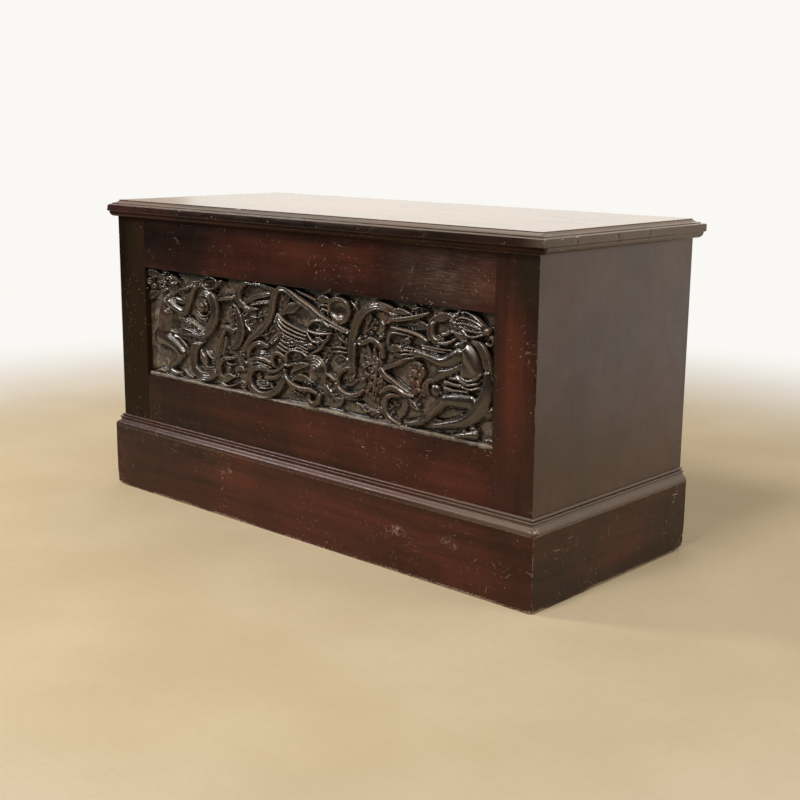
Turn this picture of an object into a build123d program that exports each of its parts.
from build123d import *
import os

# A cassone: a long low chest with a framed and carved front, plain boarded ends and back,
# a mitred plinth under a base moulding, and a moulded lid that swings on two butt hinges.
# Millimetres. X runs along the chest, -Y is the front and +Z is up. The origin is on the
# floor, below the middle of the lid.

os.makedirs("parts", exist_ok=True)

# Carcase: the framed front, the ends and the back, mitred together at the front corners.
body_width = 1180.0
body_depth = 488.0
rim_height = 623.0
carcase_lift = 6.0  # the boards stop short of the floor, so that the plinth carries the chest
frame_thickness = 32.0
end_thickness = 24.0
back_thickness = 22.0
back_board_count = 3

# Front frame: two stiles and two rails around the carved panel.
stile_width = 92.5
top_rail_height = 109.0
bottom_rail_height = 205.0
sill_height = 271.0  # the lower edge of the opening
tenon_length = 45.0
tenon_thickness = 10.0
tenon_setback = 12.0  # from the frame's face to the tenon
tenon_margin = 8.0  # of wood between the panel's groove and the tenon
joint_clearance = 0.1

# Carved panel: its ground lies back from the frame, and its tongue runs in grooves.
panel_recess = 14.0
panel_thickness = 15.0
tongue_setback = 4.0  # from the ground to the tongue
tongue_thickness = 7.0
tongue_length = 10.0
tongue_play = 1.0  # room for the panel to swell in the groove's depth
panel_gap = 0.3
ledge_height = 9.0  # the strip of carved ground along the foot of the panel
ledge_reach = 11.0

# Carving: the main forms of the relief, which stand on the panel's ground. Their places are
# shares of the opening: u from -1 at its left edge to 1 at its right, v from 0 at the sill to 1.
relief_height = 10.6  # the highest forms
relief_step = 0.9  # from one rank of forms to the next lower one
relief_root = 1.0  # how far the forms reach down into the ground
limb_waist = 0.87  # a limb's width and height between its joints, beside those at its joints
scroll_width = 20.0
ribbon_width = 15.0
tendril_width = 11.0
arm_width = 21.0
leg_width = 27.0
torso_width = 50.0
head_width = 36.0
combed_head_width = 45.0  # with the hair swept back
bell_width = 40.0  # the trumpet's mouth
fruit_width = 36.0
foot_width = 20.0

# Plinth and base moulding.
plinth_height = 139.0
plinth_projection = 16.0
ovolo_out = 15.5
ovolo_in = 11.0
ovolo_lift = 1.5
ovolo_height = 9.5
cove_in = 6.2
cove_quirk = 1.0
cove_height = 6.5
bead_radius = 2.2
bead_quirk = 1.4
cap_out = 5.0
cap_in = 2.2
cap_height = 4.1

# Floor of the chest: boards on cleats, over a bearer, with blocks glued in the corners.
floor_height = 122.0  # the top of the floor boards
floor_thickness = 18.0
floor_board_count = 3
floor_board_gap = 0.5
cleat_width = 26.0
cleat_height = 28.0
bearer_width = 60.0
bearer_height = 24.0
block_leg = 46.0

# Lid: four boards glued edge to edge, with the moulding worked on the outer edges.
lid_thickness = 36.0
lid_side_overhang = 20.0
lid_front_overhang = 16.0
lid_back_overhang = 15.0
lid_board_widths = (93.0, 123.0, 101.0)  # from the front edge; the last board takes the rest
lid_flat_inset = 20.0
lid_quirk = 1.6
lid_cove_inset = 8.5
lid_cove_drop = 7.0
lid_step_drop = 8.4
lid_nose_inset = 2.2
lid_nose_drop = 9.6
lid_nose_height = 15.0
lid_arris_radius = 1.8
lid_undercut = 3.8
lid_strip_inset = 9.5
lid_strip_height = 10.2

# Battens under the lid.
batten_width = 58.0
batten_thickness = 20.0
batten_inset = 190.0  # from the end of the body to the middle of the batten
batten_end_gap = 14.0
batten_chamfer = 5.0

# Butt hinges.
hinge_inset = 200.0  # from the end of the body to the middle of the hinge
hinge_length = 76.0
hinge_leaf_width = 22.0  # from the pin's axis
hinge_leaf_thickness = 2.0
hinge_leaf_gap = 0.3  # between the two leaves when the lid is down
knuckle_radius = 4.0
knuckle_count = 5
knuckle_gap = 0.3
knuckle_room = 0.5  # between the knuckles and the notch in the lid
pin_radius = 2.0
pin_clearance = 0.08
let_in = 0.05  # how far the leaves lie below the wood's face

# Screws.
hinge_screw = {"head": 3.4, "shank": 1.7, "cone": 1.6, "length": 18.0}
board_screw = {"head": 4.4, "shank": 2.2, "cone": 2.4, "length": 34.0}
screw_clearance = 0.05
hinge_screw_pitch = 25.0
hinge_screws_per_leaf = 3
cleat_screw_pitch = 260.0

# Places that follow from the sizes above.
front = -body_depth / 2 + (lid_front_overhang - lid_back_overhang) / 2
back = front + body_depth
side = body_width / 2
frame_back = front + frame_thickness
back_face = back - back_thickness
end_face = side - end_thickness
opening_side = side - stile_width
opening_top = rim_height - top_rail_height
rail_foot = sill_height - bottom_rail_height
groove_depth = tongue_length + tongue_play
ground = front + panel_recess
tongue_front = ground + tongue_setback
cleat_top = floor_height - floor_thickness
lid_top = rim_height + lid_thickness
lid_side = side + lid_side_overhang
lid_front = front - lid_front_overhang
lid_back = back + lid_back_overhang
pin_y = back + knuckle_radius + knuckle_gap
hinge_x = side - hinge_inset
leaf_edge = pin_y - hinge_leaf_width
leaf_seat = hinge_leaf_gap / 2 + hinge_leaf_thickness + let_in


def save(name, *solids):
    shape = solids[0] if len(solids) == 1 else Compound(children=list(solids))
    export_step(shape, f"parts/{name}.step")


def block(x, y, z):
    """A box between two x, two y and two z."""
    size = [high - low for low, high in (x, y, z)]
    return Pos(*[(low + high) / 2 for low, high in (x, y, z)]) * Box(*size)


def prism(plan, low, high):
    """An upright board with the given plan outline."""
    face = make_face(Polyline(*[(x, y, low) for x, y in plan], close=True))
    return extrude(face, amount=high - low, dir=(0, 0, 1))


def flip(shape):
    """The same piece at the other end of the chest."""
    return mirror(shape, about=Plane.YZ)


def screw(kind, slack=0.0):
    """A countersunk screw: its head's face is at the origin and it points along +Z."""
    head, shank = kind["head"] + slack, kind["shank"] + slack
    cone = Pos(0, 0, kind["cone"] / 2) * Cone(head, shank, kind["cone"])
    stem = kind["length"] + slack - kind["cone"]
    return cone + Pos(0, 0, kind["cone"] + stem / 2) * Cylinder(shank, stem)


def screws(kind, places):
    """Screws at the given places, and the slightly larger shapes of their holes."""
    holes = [place * screw(kind, screw_clearance) for place in places]
    return [place * screw(kind) for place in places], holes


def cut(solid, tools):
    for tool in tools:
        solid = solid - tool
    return solid


# Front frame.
def tenon_heights(low, high, opening_edge):
    """Where a rail's tenon runs: clear of the panel's groove, with a shoulder at the other edge."""
    inner = groove_depth + tenon_margin
    if opening_edge == low:
        return low + inner, high - tenon_margin
    return low + tenon_margin, high - inner


def tenon(low, high, opening_edge, slack=0.0):
    z0, z1 = tenon_heights(low, high, opening_edge)
    y0 = front + tenon_setback
    return block(
        (opening_side - 1, opening_side + tenon_length + slack),
        (y0 - slack, y0 + tenon_thickness + slack),
        (z0 - slack, z1 + slack),
    )


def panel_groove():
    """The groove around the opening that takes the panel's tongue."""
    reach = opening_side + groove_depth
    return block(
        (-reach, reach),
        (tongue_front - joint_clearance, tongue_front + tongue_thickness + joint_clearance),
        (sill_height - groove_depth, opening_top + groove_depth),
    )


rails = {
    "front_top_rail": (opening_top, rim_height, opening_top),
    "front_bottom_rail": (rail_foot, sill_height, sill_height),
}


def make_rail(low, high, opening_edge):
    rail = block((-opening_side, opening_side), (front, frame_back), (low, high))
    rail = rail - panel_groove()
    right = tenon(low, high, opening_edge)
    return rail + right + flip(right)


def make_right_stile():
    plan = [(opening_side, front), (side, front), (end_face, frame_back), (opening_side, frame_back)]
    stile = prism(plan, carcase_lift, rim_height) - panel_groove()
    return cut(stile, [tenon(*heights, joint_clearance) for heights in rails.values()])


# The carving.
def on_panel(u, v, lift=0.0):
    """The point at a share of the opening, so far in front of the carved ground."""
    return Vector(u * opening_side, ground - lift, sill_height + v * (opening_top - sill_height))


def dome_radius(width, height):
    """The radius of the arc that is so wide where it meets the ground, and so high."""
    return ((width / 2) ** 2 + height**2) / (2 * height)


def relief_slab():
    """The room that the carving may fill: within the opening, from its root outwards."""
    low, high = sill_height + panel_gap, opening_top - panel_gap
    side = opening_side - panel_gap
    return block((-side, side), (ground - 2 * relief_height, ground + relief_root), (low, high))


def band(path, width, height):
    """A band with a rounded face that follows the path."""
    half = width / 2
    section = Plane(origin=path @ 0, x_dir=(0, -1, 0), z_dir=path % 0)
    arc = ThreePointArc((0, -half), (height, 0), (0, half))
    root = Polyline((0, half), (-relief_root, half), (-relief_root, -half), (0, -half))
    return sweep(section * make_face([arc, *root.edges()]), path=path) & relief_slab()


def scroll(places, width, height):
    """A band along a smooth curve through the places."""
    return band(Spline(*[on_panel(*place) for place in places]), width, height)


def knob(place, width, height):
    """A rounded boss, such as a head, a knee or the eye of a volute."""
    radius = dome_radius(width, height)
    face_on = Plane(origin=on_panel(*place, height - radius), z_dir=(0, -1, 0))
    return face_on * Sphere(radius) & relief_slab()


def limb(places, width, height):
    """A limb: a knob at each joint, and a slimmer, lower band between each two joints."""
    shapes = [knob(place, width, height) for place in places]
    for start, end in zip(places, places[1:]):
        bone = Line(on_panel(*start), on_panel(*end))
        shapes.append(band(bone, width * limb_waist, height * limb_waist))
    return shapes


def scrolls():
    """The foliage between the two figures, from left to right."""
    high = relief_height
    mid = high - relief_step
    low = mid - relief_step
    return [
        scroll([(-0.61, 0.84), (-0.53, 0.74), (-0.56, 0.53), (-0.67, 0.28), (-0.63, 0.10), (-0.53, 0.13)],
               scroll_width, high),
        scroll([(-0.41, 0.78), (-0.36, 0.55), (-0.44, 0.39)], scroll_width, mid),
        scroll([(-0.20, 0.94), (-0.33, 0.95), (-0.37, 0.83), (-0.27, 0.76)], tendril_width, mid),
        scroll([(-0.34, 0.42), (-0.20, 0.65), (-0.13, 0.94), (0.06, 0.84), (0.26, 0.70)],
               ribbon_width, high),
        scroll([(-0.20, 0.26), (-0.30, 0.22), (-0.28, 0.07), (-0.16, 0.07), (-0.09, 0.27)],
               ribbon_width, high),
        scroll([(-0.09, 0.25), (0.00, 0.165), (0.09, 0.155)], tendril_width, mid),
        scroll([(0.18, 0.87), (0.24, 0.94), (0.28, 0.84), (0.24, 0.76)], tendril_width, mid),
        scroll([(0.283, 0.38), (0.30, 0.65), (0.35, 0.86), (0.46, 0.94), (0.56, 0.86)],
               scroll_width, high),
        scroll([(0.29, 0.41), (0.215, 0.30), (0.25, 0.20), (0.35, 0.24)], tendril_width, mid),
        scroll([(0.43, 0.42), (0.41, 0.27), (0.42, 0.14)], scroll_width, low),
        scroll([(0.44, 0.44), (0.52, 0.36), (0.60, 0.30)], tendril_width, mid),
        scroll([(0.54, 0.26), (0.47, 0.20), (0.49, 0.07)], tendril_width, mid),
        scroll([(0.72, 0.92), (0.70, 0.80), (0.76, 0.745)], tendril_width, mid),
        scroll([(0.90, 0.77), (0.97, 0.62)], ribbon_width, mid),
    ]


def left_figure():
    """A seated child who blows a trumpet."""
    high = relief_height
    low = high - 2 * relief_step
    return [
        *limb([(-0.875, 0.68), (-0.89, 0.46)], torso_width, high),
        *limb([(-0.90, 0.36), (-0.76, 0.27), (-0.85, 0.11)], leg_width, high),
        *limb([(-0.835, 0.66), (-0.735, 0.645), (-0.67, 0.87)], arm_width, low),
        *limb([(-0.77, 0.835), (-0.61, 0.90)], tendril_width, low),
        knob((-0.85, 0.88), head_width, high),
        knob((-0.555, 0.93), bell_width, low),
    ]


def right_figure():
    """A seated child who blows a horn."""
    high = relief_height
    low = high - 2 * relief_step
    return [
        *limb([(0.865, 0.68), (0.89, 0.54)], torso_width, high),
        *limb([(0.92, 0.32), (0.78, 0.31), (0.68, 0.15)], leg_width, high),
        *limb([(0.945, 0.50), (0.90, 0.24), (0.74, 0.11)], arm_width, low),
        *limb([(0.82, 0.65), (0.74, 0.59), (0.63, 0.62)], arm_width, high),
        *limb([(0.90, 0.12), (0.84, 0.07)], foot_width, low),
        knob((0.865, 0.87), combed_head_width, high),
        knob((0.955, 0.27), fruit_width, low),
    ]


def small_head():
    """A small head among the leaves."""
    return [knob((0.095, 0.335), head_width, relief_height)]


def make_panel():
    inside = opening_side - panel_gap
    low, high = sill_height + panel_gap, opening_top - panel_gap
    panel = block((-inside, inside), (ground, ground + panel_thickness), (low, high))
    ledge = block((-inside, inside), (ground - ledge_reach, ground), (low, low + ledge_height))
    tongue_side = opening_side + tongue_length
    tongue = block(
        (-tongue_side, tongue_side),
        (tongue_front, tongue_front + tongue_thickness),
        (sill_height - tongue_length, opening_top + tongue_length),
    )
    carving = scrolls() + small_head() + left_figure() + right_figure()
    return panel + [ledge, tongue, *carving]


# Ends, back and floor.
def make_right_end():
    plan = [(side, front), (side, back), (end_face, back), (end_face, frame_back)]
    return prism(plan, carcase_lift, rim_height)


def back_boards():
    """The back boards, from the lowest to the one that carries the hinges."""
    height = (rim_height - carcase_lift) / back_board_count
    levels = [carcase_lift + height * n for n in range(back_board_count + 1)]
    return [
        block((-end_face, end_face), (back_face, back), (low, high))
        for low, high in zip(levels, levels[1:])
    ]


def floor_boards():
    room = back_face - frame_back
    width = (room - floor_board_gap * (floor_board_count + 1)) / floor_board_count
    starts = [
        frame_back + floor_board_gap + n * (width + floor_board_gap)
        for n in range(floor_board_count)
    ]
    reach = end_face - floor_board_gap
    return [
        block((-reach, reach), (start, start + width), (cleat_top, floor_height))
        for start in starts
    ]


def make_cleats():
    """The cleats along the front, the back, the left end and the right end."""
    z = (cleat_top - cleat_height, cleat_top)
    along_front = block((-end_face, end_face), (frame_back, frame_back + cleat_width), z)
    along_back = block((-end_face, end_face), (back_face - cleat_width, back_face), z)
    between = (frame_back + cleat_width, back_face - cleat_width)
    at_right = block((end_face - cleat_width, end_face), between, z)
    return along_front, along_back, flip(at_right), at_right


def cleat_screw_places():
    """Screws through each cleat, level with its middle, into the board behind it."""
    z = cleat_top - cleat_height / 2
    rows = int((body_width / 2 - stile_width) // cleat_screw_pitch)
    xs = [n * cleat_screw_pitch for n in range(-rows, rows + 1)]
    middle = (frame_back + back_face) / 2
    inner_side = end_face - cleat_width
    at_front = [Pos(x, frame_back + cleat_width, z) * Rot(90, 0, 0) for x in xs]
    at_back = [Pos(x, back_face - cleat_width, z) * Rot(-90, 0, 0) for x in xs]
    at_right = [Pos(inner_side, middle + s * cleat_screw_pitch / 2, z) * Rot(0, 90, 0) for s in (-1, 1)]
    at_left = [Pos(-inner_side, middle + s * cleat_screw_pitch / 2, z) * Rot(0, -90, 0) for s in (-1, 1)]
    return at_front, at_back, at_left, at_right


def make_bearer():
    """The bearer across the middle, let in between the front and back cleats."""
    y = (frame_back + cleat_width, back_face - cleat_width)
    return block((-bearer_width / 2, bearer_width / 2), y, (cleat_top - bearer_height, cleat_top))


def corner_blocks():
    """Triangular glue blocks below the cleats, one in each inner corner."""
    high = cleat_top - cleat_height
    near = [(end_face, frame_back), (end_face, frame_back + block_leg), (end_face - block_leg, frame_back)]
    far = [(end_face, back_face), (end_face, back_face - block_leg), (end_face - block_leg, back_face)]
    right = [prism(plan, carcase_lift, high) for plan in (near, far)]
    return right + [flip(solid) for solid in right]


# Plinth and base moulding, mitred at the front corners.
def mitred_plan_front():
    out = plinth_projection
    return [(-side - out, front - out), (side + out, front - out), (side, front), (-side, front)]


def mitred_plan_right():
    out = plinth_projection
    return [(side, front), (side + out, front - out), (side + out, back), (side, back)]


def moulding_section(place):
    """The base moulding's section. place(out, up) gives a point in space, from the body's face
    and the plinth's top. From below: fillet, ovolo, quirk, cove, bead, groove and cap."""
    p = lambda out, up: Vector(*place(out, up))
    ovolo_base = ovolo_lift
    ovolo_top = ovolo_base + ovolo_height
    cove_base = ovolo_top + cove_quirk
    cove_top = cove_base + cove_height
    bead_top = cove_top + 2 * bead_radius
    cap_base = bead_top + bead_quirk
    cap_top = cap_base + cap_height
    ovolo_mid = (ovolo_in + (ovolo_out - ovolo_in) * 0.82, ovolo_base + ovolo_height * 0.58)
    cove_mid = (cove_in + (ovolo_in - cove_quirk - cove_in) * 0.24, cove_base + cove_height * 0.42)
    cap_mid = (cap_in + (cap_out - cap_in) * 0.8, cap_base + cap_height * 0.66)
    edges = [
        Line(p(0, 0), p(plinth_projection, 0)),
        Line(p(plinth_projection, 0), p(ovolo_out, ovolo_base)),
        ThreePointArc(p(ovolo_out, ovolo_base), p(*ovolo_mid), p(ovolo_in, ovolo_top)),
        Line(p(ovolo_in, ovolo_top), p(ovolo_in - cove_quirk, cove_base)),
        ThreePointArc(p(ovolo_in - cove_quirk, cove_base), p(*cove_mid), p(cove_in, cove_top)),
        ThreePointArc(
            p(cove_in, cove_top), p(cove_in + bead_radius, cove_top + bead_radius), p(cove_in, bead_top)
        ),
        Line(p(cove_in, bead_top), p(cap_in, bead_top)),
        Line(p(cap_in, bead_top), p(cap_out, cap_base)),
        ThreePointArc(p(cap_out, cap_base), p(*cap_mid), p(cap_in, cap_top)),
        Line(p(cap_in, cap_top), p(0, cap_top)),
        Line(p(0, cap_top), p(0, 0)),
    ]
    return Face(Wire(edges)), cap_top


def make_moulding_front():
    run = side + plinth_projection
    section, top = moulding_section(lambda out, up: (-run, front - out, plinth_height + up))
    return extrude(section, amount=2 * run, dir=(1, 0, 0)) & prism(
        mitred_plan_front(), plinth_height, plinth_height + top
    )


def make_moulding_right():
    start = front - plinth_projection
    section, top = moulding_section(lambda out, up: (side + out, start, plinth_height + up))
    return extrude(section, amount=back - start, dir=(0, 1, 0)) & prism(
        mitred_plan_right(), plinth_height, plinth_height + top
    )


# Lid.
def lid_edge(place):
    """The moulded edge from the flat top to the underside. place(inset, drop) gives a point in
    space, from the outermost edge and the lid's top."""
    p = lambda inset, drop: Vector(*place(inset, drop))
    nose_foot = lid_nose_drop + lid_nose_height
    strip_top = lid_thickness - lid_strip_height
    cove_mid = (
        lid_flat_inset - (lid_flat_inset - lid_cove_inset) * 0.42,
        lid_quirk + (lid_cove_drop - lid_quirk) * 0.66,
    )
    strip_mid = (
        lid_undercut + (lid_strip_inset - lid_undercut) * 0.26,
        strip_top + lid_strip_height * 0.62,
    )
    bend = lid_arris_radius
    return [
        Line(p(lid_flat_inset, 0), p(lid_flat_inset, lid_quirk)),
        ThreePointArc(p(lid_flat_inset, lid_quirk), p(*cove_mid), p(lid_cove_inset, lid_cove_drop)),
        Line(p(lid_cove_inset, lid_cove_drop), p(lid_cove_inset, lid_step_drop)),
        Line(p(lid_cove_inset, lid_step_drop), p(lid_nose_inset, lid_nose_drop)),
        ThreePointArc(
            p(lid_nose_inset, lid_nose_drop),
            p(lid_nose_inset * 0.3, lid_nose_drop + lid_nose_inset * 0.3),
            p(0, lid_nose_drop + lid_nose_inset),
        ),
        Line(p(0, lid_nose_drop + lid_nose_inset), p(0, nose_foot - bend)),
        ThreePointArc(
            p(0, nose_foot - bend), p(bend * 0.3, nose_foot - bend * 0.3), p(bend, nose_foot)
        ),
        Line(p(bend, nose_foot), p(lid_undercut, strip_top)),
        ThreePointArc(p(lid_undercut, strip_top), p(*strip_mid), p(lid_strip_inset, lid_thickness)),
    ]


def lid_section(low, high, at):
    """The lid's section across one direction, from low to high. at(across, up) gives a point."""
    top = [Line(Vector(*at(low + lid_flat_inset, lid_top)), Vector(*at(high - lid_flat_inset, lid_top)))]
    foot = [
        Line(
            Vector(*at(low + lid_strip_inset, rim_height)),
            Vector(*at(high - lid_strip_inset, rim_height)),
        )
    ]
    one = lid_edge(lambda inset, drop: at(high - inset, lid_top - drop))
    other = lid_edge(lambda inset, drop: at(low + inset, lid_top - drop))
    return Face(Wire(top + one + foot + other))


def make_lid():
    """The whole lid: two moulded slabs crossed, which mitres the moulding at the corners."""
    along = lid_section(-lid_side, lid_side, lambda across, up: (across, lid_front, up))
    across = lid_section(lid_front, lid_back, lambda across, up: (-lid_side, across, up))
    return extrude(along, amount=lid_back - lid_front, dir=(0, 1, 0)) & extrude(
        across, amount=2 * lid_side, dir=(1, 0, 0)
    )


def lid_board_spans():
    """The front and back edge of each lid board."""
    edges = [lid_front]
    for width in lid_board_widths:
        edges.append(edges[-1] + width)
    return list(zip(edges, edges[1:] + [lid_back]))


def make_batten(x):
    y = (frame_back + batten_end_gap, back_face - batten_end_gap)
    z = (rim_height - batten_thickness, rim_height)
    batten = block((x - batten_width / 2, x + batten_width / 2), y, z)
    return chamfer(batten.faces().sort_by(Axis.Z)[0].edges(), batten_chamfer)


def batten_screw_places(x):
    """One screw into each lid board that the batten crosses, from below."""
    room = (frame_back + batten_end_gap, back_face - batten_end_gap)
    places = []
    for low, high in lid_board_spans():
        y = (max(low, room[0]) + min(high, room[1])) / 2
        places.append(Pos(x, y, rim_height - batten_thickness))
    return places


# Hinges: the case leaf has the odd knuckles, the lid leaf has the even ones.
knuckle_length = (hinge_length - knuckle_gap * (knuckle_count - 1)) / knuckle_count


def knuckle_spans(x, first):
    start = x - hinge_length / 2
    pitch = knuckle_length + knuckle_gap
    spans = []
    for n in range(first, knuckle_count, 2):
        spans.append((start + n * pitch, start + n * pitch + knuckle_length))
    return spans


def make_leaf(x, up, first):
    """A leaf with its knuckles. up is 1 for the lid's leaf and -1 for the case's leaf."""
    near = rim_height + up * hinge_leaf_gap / 2
    far = near + up * hinge_leaf_thickness
    z = (min(near, far), max(near, far))
    plate_back = pin_y - knuckle_radius - knuckle_gap
    leaf = block((x - hinge_length / 2, x + hinge_length / 2), (leaf_edge, plate_back), z)
    for low, high in knuckle_spans(x, first):
        neck = block((low, high), (plate_back - 1, pin_y), z)
        barrel = Cylinder(knuckle_radius, high - low)
        leaf = leaf + neck + Pos((low + high) / 2, pin_y, rim_height) * Rot(0, 90, 0) * barrel
    bore = Cylinder(pin_radius + pin_clearance, hinge_length)
    return leaf - Pos(x, pin_y, rim_height) * Rot(0, 90, 0) * bore


def make_pin(x):
    return Pos(x, pin_y, rim_height) * Rot(0, 90, 0) * Cylinder(pin_radius, hinge_length)


def leaf_recess(x, up):
    """The housing for a leaf, open at the back."""
    half = hinge_length / 2 + let_in
    z = sorted((rim_height, rim_height + up * leaf_seat))
    return block((x - half, x + half), (leaf_edge - let_in, lid_back), z)


def knuckle_notch(x):
    """The room for the knuckles in the lid's back edge."""
    half = hinge_length / 2 + knuckle_room
    reach = knuckle_radius + knuckle_room
    return block((x - half, x + half), (pin_y - reach, lid_back), (rim_height, rim_height + reach))


def leaf_screw_places(x, up):
    """Screws through a leaf, whose heads are flush with the face that meets the other leaf."""
    y = (leaf_edge + back) / 2
    z = rim_height + up * hinge_leaf_gap / 2
    middle = (hinge_screws_per_leaf - 1) / 2
    xs = [x + (n - middle) * hinge_screw_pitch for n in range(hinge_screws_per_leaf)]
    turn = Rot(0, 0, 0) if up > 0 else Rot(180, 0, 0)
    return [Pos(px, y, z) * turn for px in xs]


# Each screw's hole is cut from every piece that it passes through.
hinges = (-hinge_x, hinge_x)
battens = (-side + batten_inset, side - batten_inset)
case_screws, case_holes = screws(hinge_screw, [p for x in hinges for p in leaf_screw_places(x, -1)])
lid_screws, lid_holes = screws(hinge_screw, [p for x in hinges for p in leaf_screw_places(x, 1)])
batten_screws, batten_holes = screws(board_screw, [p for x in battens for p in batten_screw_places(x)])
cleat_places = cleat_screw_places()
cleat_screws, cleat_holes = screws(board_screw, [p for row in cleat_places for p in row])

for name, heights in rails.items():
    save(name, cut(make_rail(*heights), cleat_holes))
right_stile = make_right_stile()
save("front_right_stile", cut(right_stile, cleat_holes))
save("front_left_stile", cut(flip(right_stile), cleat_holes))
save("carved_panel", make_panel())

right_end = make_right_end()
save("right_end_board", cut(right_end, cleat_holes))
save("left_end_board", cut(flip(right_end), cleat_holes))
boards = back_boards()
for n, board in enumerate(boards, 1):
    tools = cleat_holes
    if board is boards[-1]:
        tools = [leaf_recess(x, -1) for x in hinges] + case_holes
    save(f"back_board_{n}", cut(board, tools))
for n, board in enumerate(floor_boards(), 1):
    save(f"floor_board_{n}", board)
for name, cleat in zip(("front", "back", "left", "right"), make_cleats()):
    save(f"floor_cleat_{name}", cut(cleat, cleat_holes))
save("floor_bearer", make_bearer())
save("corner_blocks", *corner_blocks())
save("cleat_screws", *cleat_screws)

plinth_right = prism(mitred_plan_right(), 0, plinth_height)
save("plinth_front", prism(mitred_plan_front(), 0, plinth_height))
save("plinth_right", plinth_right)
save("plinth_left", flip(plinth_right))
moulding_right = make_moulding_right()
save("base_moulding_front", make_moulding_front())
save("base_moulding_right", moulding_right)
save("base_moulding_left", flip(moulding_right))

lid_tools = lid_holes + batten_holes
lid_tools += [leaf_recess(x, 1) for x in hinges] + [knuckle_notch(x) for x in hinges]
lid = make_lid()
for n, (low, high) in enumerate(lid_board_spans(), 1):
    slice_of_lid = lid & block((-lid_side, lid_side), (low, high), (rim_height, lid_top))
    save(f"lid_board_{n}", cut(slice_of_lid, lid_tools))
for name, x in zip(("left", "right"), battens):
    save(f"lid_batten_{name}", cut(make_batten(x), batten_holes))
save("batten_screws", *batten_screws)

for name, x in zip(("left", "right"), hinges):
    save(f"hinge_case_leaf_{name}", cut(make_leaf(x, -1, 0), case_holes))
    save(f"hinge_lid_leaf_{name}", cut(make_leaf(x, 1, 1), lid_holes))
    save(f"hinge_pin_{name}", make_pin(x))
save("case_hinge_screws", *case_screws)
save("lid_hinge_screws", *lid_screws)
